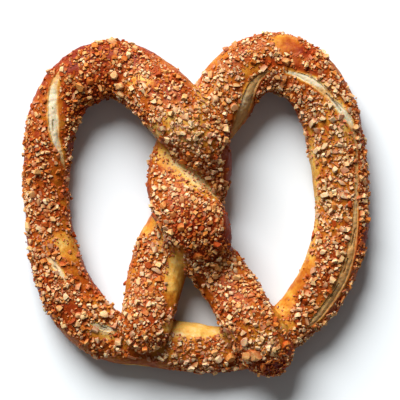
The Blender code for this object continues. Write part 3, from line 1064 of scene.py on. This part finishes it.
class Spacing:
    """Remembers where pieces lie, so that the next one finds room."""

    def __init__(self, cell: float) -> None:
        """Starts empty, with grid cells at least as wide as the widest spacing, in mm."""
        self.cell = cell
        self.cells: dict[tuple[int, int, int], list[tuple[float, float, float, float]]] = {}

    def key(self, place: tuple[float, float, float]) -> tuple[int, int, int]:
        """The grid cell that a place lies in."""
        return (int(place[0] // self.cell), int(place[1] // self.cell), int(place[2] // self.cell))

    def fits(self, place: tuple[float, float, float], reach: float) -> bool:
        """Whether a piece has room.

        Args:
            place: Its middle in mm.
            reach: How near its edge comes, in mm.

        Returns:
            True if no other piece is too close.
        """
        i, j, k = self.key(place)
        for a in (i - 1, i, i + 1):
            for b in (j - 1, j, j + 1):
                for c in (k - 1, k, k + 1):
                    for x, y, z, other in self.cells.get((a, b, c), ()):
                        gap = (x - place[0]) ** 2 + (y - place[1]) ** 2 + (z - place[2]) ** 2
                        if gap < (other + reach) ** 2:
                            return False
        return True

    def take(self, place: tuple[float, float, float], reach: float) -> None:
        """Marks the place of a piece as taken, as far as its edge comes."""
        self.cells.setdefault(self.key(place), []).append((*place, reach))


@dataclass(frozen=True)
class Strewn:
    """One piece of nut before it is made: where it lies, how large, toasted and glazed it is."""

    point: Array
    direction: Array
    size: float
    tone: float
    glaze: float = 0.0


@dataclass(frozen=True)
class Ground:
    """What the nuts need to know about the crust's surface, one value for each of its points."""

    places: Array
    normals: Array
    triangles: Array
    bare: Array
    bake: Array

    @staticmethod
    def of(crust: Object, dough: Dough) -> "Ground":
        """Reads the ground off a crust.

        Args:
            crust: The crust, already browned.
            dough: The dough that it was made from.

        Returns:
            The ground.
        """
        places, normals, triangles = Bench.arrays(crust.data)
        bake = np.empty(len(places), np.float32)
        crust.data.attributes["bake"].data.foreach_get("value", bake)
        return Ground(places, normals, triangles, dough.bareness(places), bake)


@dataclass
class NutTopping:
    """All the chopped nuts, strewn over the crust from the largest to the finest.

    Lengths are in mm. An edge is the pair of values between which a soft step runs.
    """

    dough: Dough
    crust: Object
    candidates: int = 90000
    grid_cell: float = 6.0
    bead_search: float = 0.9
    height_edge: Edge = (3.0, 6.0)
    on_sides: float = 0.012
    facing_edge: Edge = (0.12, 0.58)
    ragged_rim: Wave = Wave(0.5, 9.0, 70.0)
    bare_excess: float = 1.06
    size_power: float = 1.8
    tone_share: float = 0.55
    crust_follow_share: float = 0.75
    crust_follow_middle: float = 0.62
    burnt_share: float = 0.03
    glaze_share: float = 0.9
    glaze_edge: Edge = (0.15, 0.6)
    glaze_power: float = 0.5
    layer_bareness: float = 0.15
    layer_lift: float = 0.8
    ball_radius: float = 0.5
    block_size: float = 0.84
    spread: float = 0.1
    tilt_share: float = 0.5
    sinking: tuple[float, float] = (0.22, 0.42)
    wet_and_shaded: float = 0.95
    wet_and_shaded_edge: Edge = (0.88, 0.14)
    wet_and_shaded_height: float = 0.6
    wet_and_shaded_least: float = 0.8
    floor_gap: float = 0.4
    box_margin: float = 0.05

    def build(self) -> list[Object]:
        """Makes the four pieces.

        Returns:
            The pieces, one for each kind, not yet riding on their body.
        """
        ground = Ground.of(self.crust, self.dough)
        spacing = Spacing(self.grid_cell)
        made = []
        for cut in NUT_CUTS:
            draw = np.random.default_rng(cut.seed)
            fixed = self.fixed_beads(ground) if cut.kind is NutKind.BEADS else []
            strewn = self.strew(cut, draw, ground, spacing, fixed)
            made.append(self.join(cut, draw, strewn))
        return made

    def fixed_beads(self, ground: Ground) -> list[Strewn]:
        """The beads whose places are known.

        Args:
            ground: The crust's surface.

        Returns:
            The beads.
        """
        found = []
        for x, y, size, tone in BEADS:
            near = np.hypot(ground.places[:, 0] - x, ground.places[:, 1] - y) < self.bead_search
            if near.any():
                top = np.nonzero(near)[0][ground.places[near, 2].argmax()]
                found.append(Strewn(ground.places[top], ground.normals[top], size, tone))
        return found

    def strew(
        self, cut: NutCut, draw: np.random.Generator, ground: Ground, spacing: Spacing, fixed: list[Strewn]
    ) -> list[Strewn]:
        """Finds a place for each piece of one kind.

        Args:
            cut: The kind.
            draw: The random draw.
            ground: The crust's surface.
            spacing: What already lies on the crust.
            fixed: The pieces whose places are known.

        Returns:
            The pieces.
        """
        chosen = list(fixed)
        for piece in fixed:
            spacing.take(tuple(piece.point), piece.size * cut.spacing)
        corners = ground.places[ground.triangles]
        middles = corners.mean(axis=1)
        area = np.linalg.norm(np.cross(corners[:, 1] - corners[:, 0], corners[:, 2] - corners[:, 0]), axis=1)
        facing = ground.normals[ground.triangles].mean(axis=1)[:, 2] + self.ragged_rim.at(middles)
        covered = self.on_sides + (1.0 - self.on_sides) * smooth_step(*self.facing_edge, facing)
        wanted = area * covered * smooth_step(*self.height_edge, middles[:, 2])
        picked = draw.choice(len(middles), size=self.candidates, p=wanted / wanted.sum())
        triangles = ground.triangles[picked]
        weights = np.sort(draw.random((self.candidates, 2)), axis=1)
        shares = np.column_stack([weights[:, 0], weights[:, 1] - weights[:, 0], 1.0 - weights[:, 1]])
        points = (corners[picked] * shares[:, :, None]).sum(axis=1)
        directions = (ground.normals[triangles] * shares[:, :, None]).sum(axis=1)
        directions /= np.linalg.norm(directions, axis=1)[:, None]
        bare = (ground.bare[triangles] * shares).sum(axis=1)
        bare = np.maximum(bare, cut.gap_share * self.dough.gap(points))
        keep = draw.random(self.candidates) > bare * self.bare_excess
        growth = draw.random(cut.count) ** self.size_power
        sizes = np.sort(cut.smallest + (cut.largest - cut.smallest) * growth)[::-1]
        bake = (ground.bake[triangles] * shares).sum(axis=1)
        tones = cut.tone + self.tone_share * cut.tone_spread * draw.normal(size=self.candidates)
        # The nuts follow the crust's browning here, and with it its painted shade
        tones += self.crust_follow_share * (bake - self.crust_follow_middle)
        tones = np.where(draw.random(self.candidates) < self.burnt_share, 1.0, tones)
        glazes = self.glaze_share * smooth_step(*self.glaze_edge, bare)
        glazes *= draw.random(self.candidates) ** self.glaze_power
        step = 0
        for index in np.nonzero(keep)[0]:
            if step >= cut.count:
                break
            size = float(sizes[step])
            place = tuple(points[index].tolist())
            if spacing.fits(place, size * cut.spacing):
                spacing.take(place, size * cut.spacing)
                look = (float(tones[index]), float(glazes[index]))
                chosen.append(Strewn(points[index], directions[index], size, *look))
                step += 1
        on_top = np.nonzero(keep & (bare < self.layer_bareness))[0]
        for index in draw.choice(on_top, size=int(cut.second_layer * step), replace=False):
            size = float(draw.uniform(cut.smallest, (cut.smallest + cut.largest) / 2))
            raised = points[index] + directions[index] * self.layer_lift
            chosen.append(Strewn(raised, directions[index], size, float(tones[index])))
        LOG.info("%s: %d strewn of %d", cut.kind.value, len(chosen), cut.count + len(fixed))
        return chosen

    def templates(self, cut: NutCut, draw: np.random.Generator) -> list[tuple[Array, Array]]:
        """Chops the few shapes that a kind is made from: blocks or balls cut off by planes.

        Args:
            cut: The kind.
            draw: The random draw.

        Returns:
            For each shape its points and its triangles, one unit across.
        """
        shapes = []
        for index in range(cut.templates):
            Bench.clear_selection()
            if cut.kind is NutKind.BEADS:
                bpy.ops.mesh.primitive_ico_sphere_add(subdivisions=2, radius=self.ball_radius)
            else:
                bpy.ops.mesh.primitive_cube_add(size=self.block_size)
            piece = bpy.context.view_layer.objects.active
            bpy.ops.object.mode_set(mode="EDIT")
            for _ in range(cut.cuts):
                direction = Vector(draw.normal(size=3)).normalized()
                middle = direction * float(draw.uniform(*cut.cut_depths))
                bpy.ops.mesh.select_all(action="SELECT")
                bpy.ops.mesh.bisect(plane_co=middle, plane_no=direction, use_fill=True, clear_outer=True)
            bpy.ops.mesh.select_all(action="SELECT")
            bpy.ops.mesh.convex_hull()
            bpy.ops.object.mode_set(mode="OBJECT")
            points, _, triangles = Bench.arrays(piece.data)
            stretch = np.array(cut.proportions[index % len(cut.proportions)])
            points = points * stretch * (1.0 + self.spread * draw.normal(size=3))
            size = np.ptp(points, axis=0).max()
            shapes.append(((points - points.mean(axis=0)) / size, triangles))
            bpy.data.objects.remove(piece)
        return shapes

    def join(self, cut: NutCut, draw: np.random.Generator, strewn: list[Strewn]) -> Object:
        """Copies the shapes to their places and joins them into one piece.

        Args:
            cut: The kind.
            draw: The random draw.
            strewn: The pieces.

        Returns:
            The joined piece.
        """
        shapes = self.templates(cut, draw)
        inner, outer = np.array(CAD_BOX) / MM + np.array([[self.box_margin], [-self.box_margin]])
        all_points, all_triangles, all_tones, all_soaks_and_shade = [], [], [], []
        count = 0
        for piece in strewn:
            points, triangles = shapes[int(draw.integers(len(shapes)))]
            lean = Vector(piece.direction) + Vector(draw.normal(size=3)) * cut.tilt * self.tilt_share
            stand = lean.to_track_quat("Z", "Y").to_matrix()
            turn = np.array(stand @ Matrix.Rotation(float(draw.uniform(0, 2 * math.pi)), 3, "Z"))
            placed = (points * piece.size * (1.0 + self.spread * draw.normal(size=3))) @ turn.T
            height = placed @ piece.direction
            lift = -height.min() - float(draw.uniform(*self.sinking)) * np.ptp(height)
            placed = placed + piece.point + piece.direction * lift
            inward = np.maximum(inner - placed.min(axis=0), 0.0)
            placed += inward - np.maximum(placed.max(axis=0) - outer, 0.0)
            height = height + lift
            all_points.append(placed)
            all_triangles.append(triangles + count)
            all_tones.append(np.full(len(points), piece.tone))
            # Each piece turns darker down to its base: partly the glaze it sits in, partly painted shade on
            # its lower sides
            depth = height / max(piece.size * self.wet_and_shaded_height, self.wet_and_shaded_least)
            all_soaks_and_shade.append(np.maximum(self.wet_and_shaded * smooth_step(*self.wet_and_shaded_edge, depth), piece.glaze))
            count += len(points)
        places = np.vstack(all_points)
        places[:, 2] = np.maximum(places[:, 2], self.floor_gap)
        mesh = self.mesh_from(cut.kind.value, places, np.vstack(all_triangles))
        Bench.paint(mesh, "tone", np.clip(np.concatenate(all_tones), 0.0, 1.0))
        Bench.paint(mesh, "soak_and_shade", np.concatenate(all_soaks_and_shade))
        topping = Bench.place(cut.kind.value, mesh)
        Bench.shade(topping, cut.smooth_angle)
        topping.data.materials.append(NutFinish(cut.kind.value.replace("_", " ")).material())
        return topping

    @staticmethod
    def mesh_from(name: str, places: Array, triangles: Array) -> bpy.types.Mesh:
        """A mesh from arrays.

        Args:
            name: The mesh's name.
            places: Its points in mm.
            triangles: Its triangles.

        Returns:
            The mesh, in metres.
        """
        mesh = bpy.data.meshes.new(name)
        mesh.vertices.add(len(places))
        mesh.vertices.foreach_set("co", (places * MM).ravel())
        mesh.loops.add(triangles.size)
        mesh.loops.foreach_set("vertex_index", triangles.ravel().astype(np.int32))
        mesh.polygons.add(len(triangles))
        mesh.polygons.foreach_set("loop_start", np.arange(0, triangles.size, 3, dtype=np.int32))
        mesh.update(calc_edges=True)
        mesh.validate()
        return mesh


@dataclass
class Studio:
    """A white floor, one soft key light from the upper left, a weak fill and the camera."""

    floor_size: float = 4.0
    floor_tone: tuple[float, float, float, float] = (0.665, 0.7, 0.72, 1.0)
    key_from: tuple[float, float, float] = (-0.53, 1.36, 1.0)
    key_strength: float = 8.0
    key_spread: float = 41.0
    fill_strength: float = 0.15
    fill_tint: tuple[float, float, float, float] = (1.0, 0.95, 0.91, 1.0)
    aim: tuple[float, float, float] = (2.16, 2.16, 10.0)
    frame_width: float = 192.0
    distance: float = 2.4
    sensor_width: float = 36.0
    clip_end: float = 10.0

    def build(self) -> None:
        """Sets up the floor, the lights and the camera."""
        self.floor()
        self.lights()
        self.camera()

    def floor(self) -> None:
        """Lays the plain pale floor."""
        Bench.clear_selection()
        bpy.ops.mesh.primitive_plane_add(size=self.floor_size, location=(0, 0, 0))
        floor = bpy.context.view_layer.objects.active
        floor.name = "floor"
        paint, bench = new_material("white floor")
        shader = paint.node_tree.nodes["Principled BSDF"]
        bench.feed(shader, Base_Color=self.floor_tone, Roughness=1.0, Specular_IOR_Level=0.0)
        floor.data.materials.append(paint)

    def lights(self) -> None:
        """Adds the key light and the fill."""
        sun = bpy.data.lights.new("key", "SUN")
        sun.energy = self.key_strength
        sun.angle = math.radians(self.key_spread)
        key = Bench.place("key", sun)
        key.rotation_euler = Vector(self.key_from).to_track_quat("Z", "Y").to_euler()
        world = bpy.data.worlds.new("studio")
        world.use_nodes = True
        background = world.node_tree.nodes["Background"]
        background.inputs["Color"].default_value = self.fill_tint
        background.inputs["Strength"].default_value = self.fill_strength
        bpy.context.scene.world = world
        bpy.context.scene.view_settings.view_transform = "Standard"

    def camera(self) -> None:
        """Places the camera straight above the pretzel."""
        lens = bpy.data.cameras.new("camera")
        target = Vector(self.aim) * MM
        lens.sensor_width = self.sensor_width
        lens.lens = lens.sensor_width * self.distance / (self.frame_width * MM)
        lens.clip_end = self.clip_end
        camera = Bench.place("camera", lens)
        camera.location = target + Vector((0.0, 0.0, self.distance))
        bpy.context.scene.camera = camera


def main() -> None:
    """Builds the crust, its nuts and the studio."""
    logging.basicConfig(level=logging.INFO, format="%(name)s: %(message)s")
    dough = Dough()
    crust = Crust(dough).build()
    toppings = NutTopping(dough, crust).build()
    Bench.register(crust, "crust")
    for topping in toppings:
        Bench.register(topping, "nuts")
    Studio().build()


if __name__ == "__main__":
    main()
